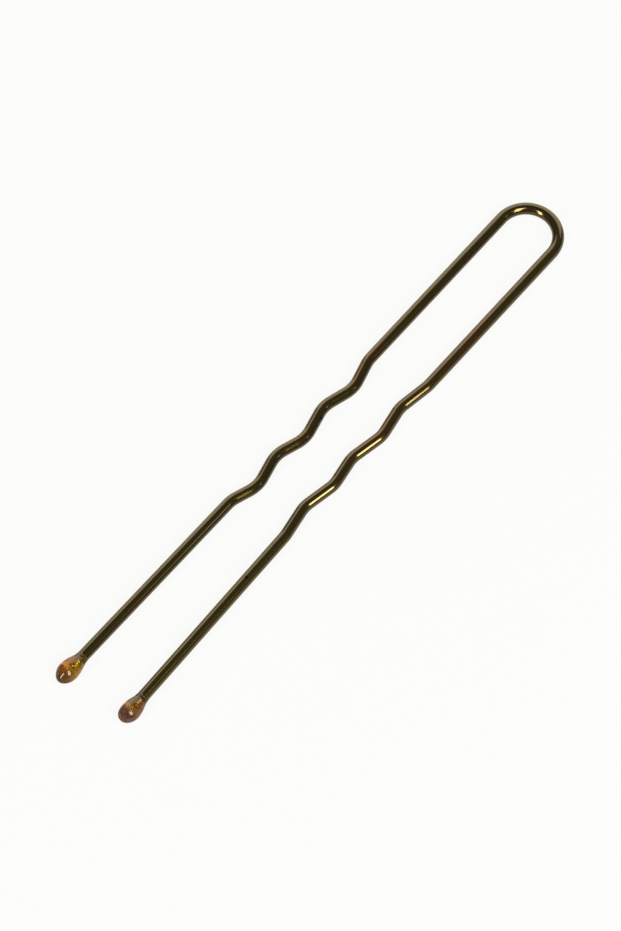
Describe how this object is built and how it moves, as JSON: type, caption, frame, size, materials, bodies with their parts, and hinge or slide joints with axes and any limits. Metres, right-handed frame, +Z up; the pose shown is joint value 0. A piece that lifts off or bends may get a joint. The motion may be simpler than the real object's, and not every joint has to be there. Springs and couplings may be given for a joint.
{
  "type": "hair pin",
  "caption": "Open U-shaped hair pin of round lacquered spring wire, with crimped legs that grip the hair and rounded amber resin drops on the wire ends.",
  "frame": {"origin": "on the surface that the pin lies on, under the middle of its outline", "axes": "+Y along the pin towards the crown, the open end towards -Y; +X across the legs, from the left leg to the right; +Z up, square to the plane of the bent wire"},
  "size_m": [0.0094, 0.0702, 0.0021],
  "materials": {
    "lacquered_wire": "glossy brown-bronze lacquer over steel",
    "amber_resin": "clear amber, glossy"
  },
  "bodies": {
    "crown_bend": {"crown": "lacquered_wire"},
    "left_side": {"left_shank": "lacquered_wire", "left_crimps": "lacquered_wire", "left_tail": "lacquered_wire", "left_tip": "amber_resin"},
    "right_side": {"right_shank": "lacquered_wire", "right_crimps": "lacquered_wire", "right_tail": "lacquered_wire", "right_tip": "amber_resin"}
  },
  "joints": [
    {"name": "left_leg_flex", "type": "hinge", "parent": "crown_bend", "child": "left_side", "pos_m": [-0.00302, 0.03132, 0.00103], "axis": [0, 0, -1], "range_deg": [-2.2, 8], "stiffness_Nm_per_rad": 0.765, "deforming": ["crown"]},
    {"name": "right_leg_flex", "type": "hinge", "parent": "crown_bend", "child": "right_side", "pos_m": [0.00326, 0.03132, 0.00103], "axis": [0, 0, 1], "range_deg": [-2.2, 8], "stiffness_Nm_per_rad": 0.765, "deforming": ["crown"]}
  ]
}
